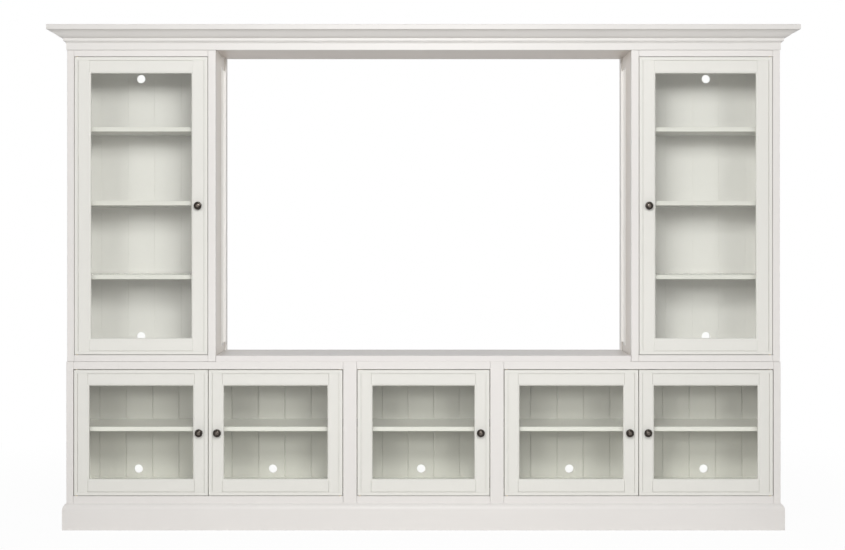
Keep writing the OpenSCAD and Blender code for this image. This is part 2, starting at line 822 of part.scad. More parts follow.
// Bolts from the hutches into the platform's ends and up into the deck, drawn for the right-hand hutch
module bolt(length, extra, past) {
    translate([0, 0, -past]) cylinder(r = bolt_head_r + extra, h = bolt_head_h + past, $fn = 24);
    translate([0, 0, bolt_head_h - 1]) cylinder(r = bolt_r + extra, h = length + 1 + extra, $fn = 24);
}

module platform_bolts(extra, past) {
    for (y = bolt_y)
        translate([hutch_in_x, y, base_h + platform_t / 2])
            rotate([0, -90, 0]) bolt(bolt_l, extra, past);
}

module deck_bolts(extra, past) {
    for (x = [hutch_in_x + bolt_edge, hutch_case_x - bolt_edge])
        for (y = bolt_y)
            translate([x, y, hutch_ceiling_z])
                bolt(2 * board_t - 2 * bolt_head_h, extra, past);
}

module connector_bolts() {
    color(STEEL)
        both_sides() {
            platform_bolts(0, 0);
            deck_bolts(0, 0);
        }
}

// Hinges and catches
function hinge_x(door) = door[4] == 0 ? door[0] + pivot_in : door[0] + door[2] - pivot_in;
function catch_x(door) = door[4] == 0 ? door[0] + door[2] - catch_in : door[0] + catch_in;
function door_top(door) = door[1] + door[3];
function gap_under(door) = door[6][0];
function gap_over(door) = door[6][1];
// Distance from a door's free edge to its knob, in the middle of the stile's flat
function knob_in(door) = (band_w + line_w + door[5][0]) / 2;

module bush_holes(door) {
    depth = pivot_in_bush + 1 + press_gap;
    translate([hinge_x(door), front_y + pivot_back, door[1] - gap_under(door) - depth])
        cylinder(r = bush_r + press_gap, h = depth + 1);
    translate([hinge_x(door), front_y + pivot_back, door_top(door) + gap_over(door) - 1])
        cylinder(r = bush_r + press_gap, h = depth + 1);
}

module bush(length, flange) {
    difference() {
        union() {
            translate([0, 0, -length]) cylinder(r = bush_r, h = length + 0.5);
            cylinder(r = bush_r + bush_flange, h = flange);
        }
        translate([0, 0, -length - 1]) cylinder(r = bush_in_r, h = length + flange + 2);
    }
}

module pivot_bushes() {
    length = pivot_in_bush + 1;
    color(BRASS)
        for (door = DOORS)
            translate([hinge_x(door), front_y + pivot_back, 0]) {
                translate([0, 0, door[1] - gap_under(door)]) bush(length, gap_under(door) - thrust_gap);
                translate([0, 0, door_top(door) + gap_over(door)]) mirror([0, 0, 1]) bush(length, flange_t);
            }
}

module door_catches() {
    color(CATCH)
        for (door = DOORS) {
            ceiling = door[1] > base_h ? hutch_ceiling_z : base_ceiling_z;
            y = frame_y + strike_t + catch_gap;
            slab([catch_x(door) - catch_w / 2, catch_x(door) + catch_w / 2],
                [y, y + catch_d], [door_top(door) - catch_lap, ceiling]);
        }
}

// Doors, each drawn with its lower left front corner at the origin
module band_section() {
    ease = 0.8;
    polygon([[ease, 0], [band_w, 0], [band_w, frame_t], [0, frame_t], [0, ease]]);
}

module face_section(joint) {
    edge = band_w + glue_line;
    polygon([
        [edge, face_drop + line_d], [edge + line_w, face_drop + line_d], [edge + line_w, face_drop],
        [joint - quirk, face_drop], [joint, face_drop + quirk], [joint, frame_t], [edge, frame_t]
    ]);
}

// Moulded edge and glazing stop, drawn from the inner edge of a stile or rail inwards
module stick_section() {
    round_y = face_drop + quirk + stick_w;
    intersection() {
        translate([0, round_y]) circle(stick_w);
        translate([0, round_y - stick_w]) square(stick_w);
    }
    translate([0, round_y]) square([stick_w, frame_t - round_y]);
}

module stop_section() {
    ease = 4;
    edge = rabbet_in + glue_line;
    inner = stick_w - stop_set;
    polygon([
        [edge, stop_y], [inner, stop_y], [inner, frame_t - ease], [inner - ease, frame_t], [edge, frame_t]
    ]);
}

// A bar on edge 0 left, 1 right, 2 bottom or 3 top of a w by h frame, from a section of (distance in, depth)
module frame_bar(w, h, edge, inset) {
    if (edge == 0)
        translate([0, 0, inset]) linear_extrude(h - 2 * inset) children();
    if (edge == 1)
        translate([w, 0, inset]) mirror([1, 0, 0]) linear_extrude(h - 2 * inset) children();
    if (edge == 2)
        translate([w - inset, 0, 0]) rotate([0, -90, 0]) linear_extrude(w - 2 * inset) children();
    if (edge == 3)
        translate([w - inset, 0, h])
            mirror([0, 0, 1]) rotate([0, -90, 0]) linear_extrude(w - 2 * inset) children();
}

module mitred_bar(w, h, edge) {
    m = band_w + 10;
    g = glue_line * 1.5;
    points = [
        [[-m, g - m], [m, m + g], [m, h - m - g], [-m, h + m - g]],
        [[w + m, g - m], [w - m, m + g], [w - m, h - m - g], [w + m, h + m - g]],
        [[-m, -m], [w + m, -m], [w - m, m], [m, m]],
        [[-m, h + m], [w + m, h + m], [w - m, h - m], [m, h - m]]
    ];
    intersection() {
        frame_bar(w, h, edge, -m) children();
        translate([0, frame_t + 1, 0])
            rotate([90, 0, 0]) linear_extrude(frame_t + 2) polygon(points[edge]);
    }
}

// The flat of a stile or rail, the rails with bevelled ends between the stiles
module face_bar(w, h, edge, joints) {
    if (edge < 2)
        frame_bar(w, h, edge, band_w + glue_line) face_section(joints[0]);
    else {
        end = joints[0] + joints[3];
        intersection() {
            frame_bar(w, h, edge, end) face_section(joints[edge - 1]);
            linear_extrude(h)
                polygon([
                    [end, frame_t + 1], [end, face_drop + quirk], [end + quirk, face_drop],
                    [w - end - quirk, face_drop], [w - end, face_drop + quirk], [w - end, frame_t + 1]
                ]);
        }
    }
}

module door_at(door) {
    translate([door[0], front_y, door[1]]) children();
}

module pivot_holes(w, h, right) {
    x = right == 0 ? pivot_in : w - pivot_in;
    for (z = [-1, h - pivot_in_door - press_gap])
        translate([x, pivot_back, z])
            cylinder(r = pivot_hole_r, h = pivot_in_door + press_gap + 1, $fn = 32);
}

module knob_hole(door) {
    translate([door[4] == 0 ? door[2] - knob_in(door) : knob_in(door), -1, door[3] / 2])
        rotate([-90, 0, 0]) cylinder(r = screw_r + press_gap, h = frame_t + 2, $fn = 24);
}

module door_frame(door) {
    w = door[2];
    h = door[3];
    joints = door[5];
    inner_w = w - 2 * joints[0];
    inner_h = h - joints[1] - joints[2];
    corner = [joints[0], 0, joints[1]];
    door_at(door) color(PAINT) {
        for (edge = [0:3])
            difference() {
                mitred_bar(w, h, edge) band_section();
                pivot_holes(w, h, door[4]);
            }
        for (edge = [0:3])
            difference() {
                union() {
                    face_bar(w, h, edge, joints);
                    translate(corner) mitred_bar(inner_w, inner_h, edge) stick_section();
                }
                translate(corner)
                    slab([rabbet_in, inner_w - rabbet_in], [lip_y, frame_t + 1],
                        [rabbet_in, inner_h - rabbet_in]);
                knob_hole(door);
            }
        for (edge = [0:3]) translate(corner) mitred_bar(inner_w, inner_h, edge) stop_section();
    }
}

module door_glass(door) {
    edge = rabbet_in + glass_play;
    joints = door[5];
    door_at(door)
        color(PANE)
            slab([joints[0] + edge, door[2] - joints[0] - edge], [lip_y, stop_y],
                [joints[1] + edge, door[3] - joints[2] - edge]);
}

// A round knob with a ring cut into its domed face, its screw through the stile behind it
module knob_section() {
    face_r = knob_r - knob_rim;
    rim_y = knob_out - knob_rise - knob_rim;
    dome_r = (face_r * face_r + knob_rise * knob_rise) / (2 * knob_rise);
    ring_y = knob_out - dome_r + sqrt(dome_r * dome_r - knob_ring_r * knob_ring_r);
    difference() {
        union() {
            square([knob_neck_r + 4, 2.5]);
            square([knob_neck_r, rim_y]);
            translate([0, rim_y - knob_rim]) square([face_r, 2 * knob_rim]);
            translate([face_r, rim_y]) circle(knob_rim);
            intersection() {
                translate([0, knob_out - dome_r]) circle(dome_r);
                translate([0, rim_y]) square([face_r, knob_out]);
            }
        }
        translate([0, -1]) square([screw_r + press_gap, 12 + press_gap]);
        translate([knob_ring_r, ring_y]) circle(0.8);
    }
}

module door_knob(door) {
    x = door[4] == 0 ? door[2] - knob_in(door) : knob_in(door);
    door_at(door)
        color(BRONZE)
            translate([x, face_drop, door[3] / 2]) {
                rotate([90, 0, 0]) rotate_extrude() knob_section();
                translate([0, -11, 0])
                    rotate([-90, 0, 0]) cylinder(r = screw_r, h = 11 + frame_t - face_drop + 0.5, $fn = 24);
                translate([0, frame_t - face_drop, 0])
                    rotate([-90, 0, 0]) cylinder(r = 2 * screw_r, h = 1.6, $fn = 24);
            }
}

// Two pivot pins and the strike plate of the catch
module door_pivots(door) {
    w = door[2];
    h = door[3];
    pin_x = door[4] == 0 ? pivot_in : w - pivot_in;
    strike_x = door[4] == 0 ? w - catch_in : catch_in;
    door_at(door) color(STEEL) {
        translate([pin_x, pivot_back, -gap_under(door) - pivot_in_bush])
            cylinder(r = pivot_r, h = pivot_in_door + gap_under(door) + pivot_in_bush, $fn = 32);
        translate([pin_x, pivot_back, h - pivot_in_door])
            cylinder(r = pivot_r, h = pivot_in_door + gap_over(door) + pivot_in_bush, $fn = 32);
        slab([strike_x - catch_w / 2, strike_x + catch_w / 2], [frame_t, frame_t + strike_t],
            [h - catch_lap, h - 1]);
    }
}

plinth();
plinth_rails();
base_sides();
base_partitions();
base_floors();
base_top();
base_stiles();
base_rails();
base_back_left();
base_back_centre();
base_back_right();
base_shelves();
hutch_left_case();
hutch_left_frame();
hutch_left_back();
hutch_left_shelves();
hutch_right_case();
hutch_right_frame();
hutch_right_back();
hutch_right_shelves();
tv_platform();
bay_battens();
bridge_deck();
bridge_ribs();
wall_rail();
frieze();
crown_moulding();
dust_cover();
shelf_pins();
pivot_bushes();
door_catches();
connector_bolts();
door_frame(DOORS[0]);  // door_1_frame
door_glass(DOORS[0]);  // door_1_glass
door_knob(DOORS[0]);  // door_1_knob
door_pivots(DOORS[0]);  // door_1_pivots
door_frame(DOORS[1]);  // door_2_frame
door_glass(DOORS[1]);  // door_2_glass
door_knob(DOORS[1]);  // door_2_knob
door_pivots(DOORS[1]);  // door_2_pivots
door_frame(DOORS[2]);  // door_3_frame
door_glass(DOORS[2]);  // door_3_glass
door_knob(DOORS[2]);  // door_3_knob
door_pivots(DOORS[2]);  // door_3_pivots
door_frame(DOORS[3]);  // door_4_frame
door_glass(DOORS[3]);  // door_4_glass
door_knob(DOORS[3]);  // door_4_knob
door_pivots(DOORS[3]);  // door_4_pivots
door_frame(DOORS[4]);  // door_5_frame
door_glass(DOORS[4]);  // door_5_glass
door_knob(DOORS[4]);  // door_5_knob
door_pivots(DOORS[4]);  // door_5_pivots
door_frame(DOORS[5]);  // hutch_door_left_frame
door_glass(DOORS[5]);  // hutch_door_left_glass
door_knob(DOORS[5]);  // hutch_door_left_knob
door_pivots(DOORS[5]);  // hutch_door_left_pivots
door_frame(DOORS[6]);  // hutch_door_right_frame
door_glass(DOORS[6]);  // hutch_door_right_glass
door_knob(DOORS[6]);  // hutch_door_right_knob
door_pivots(DOORS[6]);  // hutch_door_right_pivots
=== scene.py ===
"""The looks of an entertainment wall unit: its paints, glass, knobs and light.

It is laid out as an add-on and run as a script. Each operator finishes one group of like pieces, or sets up
the camera or the stage, and the panel lists them in the order in which main() calls them. Everything is in
metres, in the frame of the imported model: the front looks along -Y, X runs to the right, Z runs up and the
floor is at zero.
"""

import math

import bpy
from bpy.props import FloatProperty, FloatVectorProperty, PointerProperty
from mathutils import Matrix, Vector


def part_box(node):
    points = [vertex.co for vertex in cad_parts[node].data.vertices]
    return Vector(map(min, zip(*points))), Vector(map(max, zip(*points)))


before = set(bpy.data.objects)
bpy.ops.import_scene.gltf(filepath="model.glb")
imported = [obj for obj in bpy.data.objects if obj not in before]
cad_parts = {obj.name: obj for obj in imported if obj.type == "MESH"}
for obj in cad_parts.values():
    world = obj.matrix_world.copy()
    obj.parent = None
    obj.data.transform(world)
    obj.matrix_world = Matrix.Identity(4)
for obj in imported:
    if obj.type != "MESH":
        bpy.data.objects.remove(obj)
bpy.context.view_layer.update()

bl_info = {
    "name": "Entertainment Wall Unit",
    "version": (1, 0, 0),
    "blender": (4, 5, 0),
    "location": "3D View > Sidebar > Wall Unit",
    "description": "Paints, glazes and lights a painted entertainment wall unit",
    "category": "Object",
}

# Names of the CAD nodes, by finish
DOORS = ("door_1", "door_2", "door_3", "door_4", "door_5", "hutch_door_left", "hutch_door_right")
CASE_NODES = (
    "plinth", "base_sides", "base_top", "base_stiles", "base_rails", "hutch_left_frame", "hutch_right_frame",
)
HUTCH_CASES = ("hutch_left_case", "hutch_right_case")
TRIM_NODES = ("frieze", "crown_moulding")
BASE_SHELVES = ("base_floors", "base_shelves")
HUTCH_SHELVES = ("hutch_left_shelves", "hutch_right_shelves")
BASE_BACKS = ("plinth_rails", "base_partitions", "base_back_left", "base_back_centre", "base_back_right")
HUTCH_BACKS = ("hutch_left_back", "hutch_right_back")
BRASS_NODES = ("shelf_pins", "pivot_bushes")
BARE_NODES = ("bridge_ribs", "wall_rail", "dust_cover")

# Most of a noise's values lie between these
NOISE_RANGE = (0.3, 0.7)

# A point this near to a face takes the face's colour
FACE_TOLERANCE = 0.0005

# A line of grain is this many times as long as it is wide
GRAIN_STRETCH = 60

# The grain is this shade of the paint, mixed in up to this share
STREAK_SHADE = 0.985
STREAK_SHARE = 0.5

# Sizes of the other finishes' patterns, one number or one along each axis, and depths of their bumps
BRONZE_CLOUD = 0.004
BRONZE_GRIT = 0.0008
BRONZE_DEPTH = 0.00003
METAL_CLOUD = 0.012
METAL_MARKS = (0.0006, 0.0006, 0.004)
METAL_DEPTH = 0.00002
WOOD_RINGS = (0.35, 0.06, 0.06)
WOOD_PORES = (0.12, 0.002, 0.002)
WOOD_DEPTH = 0.0001
PLASTIC_SPARK = 0.0007
PLASTIC_DEPTH = 0.00003

# Roughness of the two metals
STEEL_ROUGHNESS = 0.34
BRASS_ROUGHNESS = 0.30

# Y of a knob's normal where the lighter bronze, rubbed wear and a painted highlight, is at its full, and
# where it ends
RUBBED_FULL = -0.995
RUBBED_END = -0.93

# Sockets of the Mix node when it mixes colours
MIX_FIRST = 6
MIX_SECOND = 7
MIX_RESULT = 2

WHITE = (1.0, 1.0, 1.0)
FLOOR_COLOUR = (0.80, 0.79, 0.78)
FLOOR_HALF = 12.0

# The floor lies this far below the unit's foot, so that no two faces lie in one plane
FLOOR_DROP = 0.0005

# The floor's glow rises to full white between these distances from the middle
FLOOR_FADE = (1.9, 3.6)

# The two lamps far out in front stand this far to either side
FAR_LAMP_SIDE = 4.05


def colour_property(name, description, default):
    """A colour that a user would change."""
    return FloatVectorProperty(
        name=name, description=description, default=default, size=3, min=0.0, max=1.0, subtype="COLOR"
    )


def length_property(name, description, default):
    """A length in metres that a user would change."""
    return FloatProperty(
        name=name, description=description, default=default, min=0.0, unit="LENGTH", precision=4
    )


def power_property(name, description, default):
    """A lamp's power in watts."""
    return FloatProperty(name=name, description=description, default=default, min=0.0, unit="POWER")


def share_property(name, description, default):
    """A share from 0 to 1."""
    return FloatProperty(
        name=name, description=description, default=default, min=0.0, max=1.0, subtype="FACTOR"
    )


def shift_property(name, description, default):
    """A shift of the picture, as a share of its width."""
    return FloatProperty(name=name, description=description, default=default, min=-1.0, max=1.0, precision=5)


class WallUnitPaint(bpy.types.PropertyGroup):
    """Colours and texture of the satin paint."""

    case: colour_property("Case", "Paint of the cases and face frames", (0.80, 0.775, 0.75))
    door: colour_property("Doors", "Paint of the doors", (0.79, 0.78, 0.735))
    trim: colour_property("Mouldings", "Paint of the frieze and the crown", (0.765, 0.745, 0.72))
    # Lighter and warmer than the case paint: painted light on the hutches' sides that face the bay
    bay: colour_property("Bay", "Paint of the hutches' sides that face the bay", (0.92, 0.865, 0.80))
    # Greener than the case paint: a painted tint of the shade inside the hutches
    hutch_inside: colour_property(
        "Hutch inside", "Paint of the hutches' sides, floors and ceilings", (0.82, 0.81, 0.765)
    )
    # Darker and warmer than the case paint: painted shade under the deck
    deck: colour_property("Deck", "Paint of the deck over the bay", (0.735, 0.67, 0.61))
    platform: colour_property("Platform", "Paint of the platform in the bay", (0.79, 0.76, 0.74))
    # Lighter than the case paint: painted light on the battens and cleats
    batten: colour_property("Battens", "Paint of the battens and cleats in the bay", (0.93, 0.91, 0.88))
    # Darker than the hutch backs: painted shade in the base
    base_back: colour_property("Base backs", "Paint of the planked backs in the base", (0.755, 0.75, 0.695))
    # Lighter than the base backs: painted light in the hutches
    hutch_back: colour_property(
        "Hutch backs", "Paint of the planked backs in the hutches", (0.865, 0.855, 0.83)
    )
    # Lighter than the hutch shelves: painted light on the base's shelf tops and floors
    base_shelf: colour_property(
        "Base shelves", "Paint of the shelves and floors in the base", (0.90, 0.89, 0.835)
    )
    # Darker than the base shelves: painted shade in the hutches
    hutch_shelf: colour_property("Hutch shelves", "Paint of the shelves in the hutches", (0.82, 0.81, 0.765))
    roughness: share_property("Roughness", "Roughness of the satin paint", 0.42)
    shelf_roughness: share_property(
        "Shelf roughness", "Roughness of the smoother paint on the shelves", 0.18
    )
    tone: share_property("Tone", "How much the colour varies over a board", 0.03)
    tone_size: length_property("Tone size", "Size of the broad clouds of tone", 0.7)
    peel_size: length_property("Peel size", "Distance between the ripples of the sprayed coat", 0.0016)
    peel_depth: length_property("Peel depth", "Depth of those ripples", 0.00004)
    grain_size: length_property("Grain size", "Width of the wood grain that shows through", 0.004)
    grain_depth: length_property("Grain depth", "Depth of that grain", 0.00006)


class WallUnitGlass(bpy.types.PropertyGroup):
    """The panes of the doors."""

    tint: colour_property("Tint", "Colour that the light takes at each face of a pane", (0.99, 0.995, 0.98))
    passed: share_property("Passed", "Share of the lamps' light that each face lets through", 0.965)
    roughness: share_property("Roughness", "Roughness of the polished faces", 0.0)
    ior: FloatProperty(
        name="IOR", description="Index of refraction of the glass", default=1.45, min=1.0, max=2.0
    )


class WallUnitFittings(bpy.types.PropertyGroup):
    """Colours of the dark bronze knobs, of the small fittings and of the bare wood inside."""

    dark: colour_property("Patina", "Dark patina of the knobs", (0.020, 0.017, 0.015))
    # The fronts of the knobs show this shade: rubbed wear and a painted highlight
    rubbed: colour_property("Rubbed", "Bronze that shows on the fronts of the knobs", (0.22, 0.19, 0.165))
    rim: colour_property("Rim", "What the edges of the knobs mirror of the white room", (0.10, 0.09, 0.08))
    steel: colour_property("Steel", "Zinc-plated pins, plates and bolts", (0.60, 0.60, 0.61))
    brass: colour_property("Brass", "Shelf pins and bushes", (0.72, 0.56, 0.30))
    plastic: colour_property("Plastic", "Bodies of the door catches", (0.80, 0.80, 0.78))
    wood: colour_property("Wood", "Bare softwood in the cornice", (0.55, 0.40, 0.24))


class WallUnitStage(bpy.types.PropertyGroup):
    """Camera, lamps and floor."""

    camera_distance: length_property("Camera distance", "From the face frames to the camera", 7.25)
    camera_height: length_property("Camera height", "Height of the camera above the floor", 1.179)
    lens: FloatProperty(name="Lens", description="Focal length", default=77.24, min=1.0, unit="CAMERA")
    shift_x: shift_property("Shift X", "Sideways shift of the picture", -0.00115)
    shift_y: shift_property("Shift Y", "Upright shift of the picture", -0.04734)
    far_power: power_property("Far lamps", "Power of each of the two lamps far out in front", 252.0)
    front_power: power_property("Front lamp", "Power of the lamp in front, above the line of sight", 76.0)
    near_power: power_property("Near lamp", "Power of the long lamp that lights the base from close by", 0.7)
    top_power: power_property("Top lamp", "Power of the lamp above, for the views from above", 3.0)
    back_power: power_property("Back lamp", "Power of the lamp behind, for the views from behind", 135.0)
    fill: share_property("Fill", "Light of the room from all sides", 0.19)
    floor_white: share_property("Floor", "How white the floor looks beside its shadow", 0.97)


# Materials


class NodeTree:
    """A tree of shader nodes, with short calls to add and join them."""

    def __init__(self, tree):
        self.nodes = tree.nodes
        self.links = tree.links

    def add(self, kind, settings=None, **inputs):
        """A new node with its settings made and its inputs fed; a _ in an input's name stands for a space."""
        node = self.nodes.new(kind)
        for key, value in (settings or {}).items():
            setattr(node, key, value)
        self.feed_all(node, inputs)
        return node

    def feed_all(self, node, inputs):
        """Feeds each named input of a node."""
        for key, value in inputs.items():
            self.feed(node.inputs[key.replace("_", " ")], value)

    def feed(self, socket, value):
        """Links another node's output to an input, or sets the input to a number or a colour."""
        if isinstance(value, bpy.types.NodeSocket):
            self.links.new(value, socket)
        elif socket.type == "RGBA" and len(value) == 3:
            socket.default_value = (*value, 1.0)
        else:
            socket.default_value = value

    def work_out(self, operation, *values):
        """The result of a Math node that takes the values in order."""
        node = self.add("ShaderNodeMath", {"operation": operation})
        for socket, value in zip(node.inputs, values):
            self.feed(socket, value)
        return node.outputs["Value"]

    def spread(self, value, low, high, known=NOISE_RANGE):
        """Stretches a value from its known range, a noise's if none is given, to run from low to high."""
        start, end = known
        node = self.add("ShaderNodeMapRange", Value=value, From_Min=start, From_Max=end)
        self.feed_all(node, {"To_Min": low, "To_Max": high})
        return node.outputs["Result"]

    def seen_rays(self):
        """1 for rays that see the stage: from the camera, in a mirror or through glass."""
        rays = self.add("ShaderNodeLightPath")
        seen = self.work_out("MAXIMUM", rays.outputs["Is Camera Ray"], rays.outputs["Is Glossy Ray"])
        return self.work_out("MAXIMUM", seen, rays.outputs["Is Transmission Ray"])


class Shading(NodeTree):
    """A new material, with short calls for its patterns and its shader."""

    def __init__(self, name):
        self.material = bpy.data.materials.new(name)
        self.material.use_nodes = True
        super().__init__(self.material.node_tree)
        self.shader = self.nodes["Principled BSDF"]
        self.output = self.nodes["Material Output"]

    def set(self, **inputs):
        """Feeds inputs of the material's main shader."""
        self.feed_all(self.shader, inputs)

    def swap(self, factor, other):
        """Shows another shader in place of the main one where the factor is 1."""
        both = self.add("ShaderNodeMixShader")
        for socket, value in zip(both.inputs, (factor, self.shader.outputs["BSDF"], other)):
            self.feed(socket, value)
        self.feed(self.output.inputs["Surface"], both.outputs["Shader"])

    def place(self, size):
        """Object coordinates divided by the size of the pattern, one number or one for each axis."""
        sizes = (size, size, size) if isinstance(size, float) else size
        coordinates = self.add("ShaderNodeTexCoord")
        mapping = self.add("ShaderNodeMapping", Vector=coordinates.outputs["Object"])
        mapping.inputs["Scale"].default_value = [1.0 / length for length in sizes]
        return mapping.outputs["Vector"]

    def face_at(self, distance):
        """1 on the faces that lie at this distance left and right of the middle, 0 elsewhere."""
        coordinates = self.add("ShaderNodeTexCoord")
        axes = self.add("ShaderNodeSeparateXYZ", Vector=coordinates.outputs["Object"])
        away = self.work_out("ABSOLUTE", axes.outputs["X"])
        return self.work_out("COMPARE", away, distance, FACE_TOLERANCE)

    def noise(self, size, detail, roughness=0.5):
        """Clouds of the given size."""
        place = self.place(size)
        node = self.add("ShaderNodeTexNoise", Vector=place, Scale=1.0, Detail=detail, Roughness=roughness)
        return node.outputs["Fac"]

    def mix(self, factor, first, second):
        """The first colour where the factor is 0 and the second where it is 1."""
        node = self.add("ShaderNodeMix", {"data_type": "RGBA"}, Factor=factor)
        self.feed(node.inputs[MIX_FIRST], first)
        self.feed(node.inputs[MIX_SECOND], second)
        return node.outputs[MIX_RESULT]

    def bump(self, height, distance, normal=None):
        """Raises the surface by a pattern, on top of another bump where one is given."""
        node = self.add("ShaderNodeBump", Height=height, Distance=distance, Strength=1.0)
        if normal is not None:
            self.feed(node.inputs["Normal"], normal)
        return node.outputs["Normal"]


def scaled(colour, factor):
    """A colour made lighter or darker."""
    return tuple(min(1.0, channel * factor) for channel in colour)


def paint_material(name, colour, along, settings, roughness=None, faces=()):
    """Sprayed satin paint over wood: a fine peel, grain that shows faintly along one axis, and a broad tone.

    Each of the faces is a distance from the middle and the colour of the side that lies there.
    """
    shading = Shading(name)
    if roughness is None:
        roughness = settings.roughness
    grain = [settings.grain_size] * 3
    grain["XYZ".index(along)] *= GRAIN_STRETCH
    tone = shading.noise(settings.tone_size, detail=3.0)
    streaks = shading.noise(grain, detail=3.0, roughness=0.6)
    peel = shading.noise(settings.peel_size, detail=1.0)
    darker = scaled(colour, 1.0 - settings.tone / 2)
    lighter = scaled(colour, 1.0 + settings.tone / 2)
    base = shading.mix(shading.spread(tone, 0.0, 1.0), darker, lighter)
    base = shading.mix(shading.spread(streaks, 0.0, STREAK_SHARE), base, scaled(colour, STREAK_SHADE))
    for distance, other in faces:
        base = shading.mix(shading.face_at(distance), base, other)
    normal = shading.bump(streaks, settings.grain_depth)
    normal = shading.bump(peel, settings.peel_depth, normal)
    smoothest = roughness - 0.05
    roughest = roughness + 0.06
    shading.set(Base_Color=base, Normal=normal, Roughness=shading.spread(peel, smoothest, roughest))
    shading.set(Specular_IOR_Level=0.45)
    return shading.material


def glass_material(name, settings):
    """Clear float glass that bends and mirrors what is seen and lets the light of lamps and walls through."""
    shading = Shading(name)
    shading.set(Base_Color=settings.tint, Roughness=settings.roughness, IOR=settings.ior)
    shading.set(Transmission_Weight=1.0)
    rays = shading.add("ShaderNodeLightPath")
    soft = shading.work_out("MAXIMUM", rays.outputs["Is Shadow Ray"], rays.outputs["Is Diffuse Ray"])
    clear = shading.add("ShaderNodeBsdfTransparent", Color=scaled(settings.tint, settings.passed))
    shading.swap(soft, clear.outputs["BSDF"])
    return shading.material


def bronze_material(name, settings):
    """Dark oil-rubbed bronze, lighter on the forward-facing fronts of the domes: partly wear where hands have
    rubbed it, partly a painted highlight.
    """
    shading = Shading(name)
    cloud = shading.noise(BRONZE_CLOUD, detail=4.0, roughness=0.6)
    grit = shading.noise(BRONZE_GRIT, detail=2.0)
    coordinates = shading.add("ShaderNodeTexCoord")
    normal = shading.add("ShaderNodeSeparateXYZ", Vector=coordinates.outputs["Normal"])
    # Lighter where the dome faces forward: rubbed wear and a painted highlight
    front = shading.spread(normal.outputs["Y"], 1.0, 0.0, known=(RUBBED_FULL, RUBBED_END))
    wear_and_highlight = shading.work_out("MULTIPLY", front, shading.spread(cloud, 0.3, 1.0))
    base = shading.mix(wear_and_highlight, settings.dark, settings.rubbed)
    shading.set(Base_Color=base, Normal=shading.bump(grit, BRONZE_DEPTH))
    shading.set(Roughness=shading.spread(cloud, 0.22, 0.34))
    shading.set(Metallic=1.0, Specular_Tint=settings.rim)
    return shading.material


def metal_material(name, colour, roughness):
    """Plain metal with fine marks of turning or plating."""
    shading = Shading(name)
    cloud = shading.noise(METAL_CLOUD, detail=3.0)
    marks = shading.noise(METAL_MARKS, detail=2.0)
    dull = scaled(colour, 0.9)
    smoothest = roughness - 0.06
    roughest = roughness + 0.08
    shading.set(Base_Color=shading.mix(shading.spread(cloud, 0.0, 1.0), dull, colour))
    shading.set(Normal=shading.bump(marks, METAL_DEPTH), Roughness=shading.spread(marks, smoothest, roughest))
    shading.set(Metallic=1.0)
    return shading.material


def wood_material(name, colour):
    """Bare softwood whose rings and pores run along X."""
    shading = Shading(name)
    bands = {"wave_type": "BANDS", "bands_direction": "Z"}
    place = shading.place(WOOD_RINGS)
    rings = shading.add("ShaderNodeTexWave", bands, Vector=place, Scale=2.2, Distortion=5.0, Detail=3.0)
    pores = shading.noise(WOOD_PORES, detail=3.0)
    late_wood = scaled(colour, 0.82)
    pore_colour = scaled(colour, 0.70)
    base = shading.mix(shading.spread(rings.outputs["Fac"], 0.0, 1.0, known=(0.0, 1.0)), colour, late_wood)
    base = shading.mix(shading.spread(pores, 0.0, 0.4), base, pore_colour)
    shading.set(Base_Color=base, Normal=shading.bump(pores, WOOD_DEPTH))
    shading.set(Roughness=shading.spread(pores, 0.60, 0.78))
    return shading.material


def plastic_material(name, colour):
    """Moulded plastic with a fine spark texture."""
    shading = Shading(name)
    spark = shading.noise(PLASTIC_SPARK, detail=1.0)
    base = shading.mix(shading.spread(spark, 0.0, 1.0), colour, scaled(colour, 0.97))
    shading.set(Base_Color=base, Normal=shading.bump(spark, PLASTIC_DEPTH))
    shading.set(Roughness=shading.spread(spark, 0.48, 0.60))
    return shading.material


# Helpers of the operators


def dress(names, material):
    """Gives each named CAD node the material in all its slots."""
    for name in names:
        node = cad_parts[name]
        if not node.material_slots:
            raise RuntimeError(f"{name} has no material slot")
        for slot in node.material_slots:
            slot.material = material


def of_each_door(part):
    """The nodes that hold one part of each door."""
    return [f"{door}_{part}" for door in DOORS]


def put_in_scene(name, data):
    """A new object that shows a camera, a lamp or a mesh."""
    thing = bpy.data.objects.new(name, data)
    bpy.context.scene.collection.objects.link(thing)
    return thing


def add_lamp(name, power, place, target, size, spread=180, mirrored=False):
    """A soft rectangular lamp that looks at a point and fans out by an angle in degrees.

    The panes and the knobs show it only where it is to be mirrored.
    """
    data = bpy.data.lights.new(name, "AREA")
    data.shape = "RECTANGLE"
    data.size, data.size_y = size
    data.energy = power
    data.spread = math.radians(spread)
    lamp = put_in_scene(name, data)
    lamp.location = place
    lamp.rotation_euler = (Vector(target) - Vector(place)).to_track_quat("-Z", "Y").to_euler()
    lamp.visible_camera = False
    lamp.visible_glossy = mirrored
    lamp.visible_transmission = mirrored


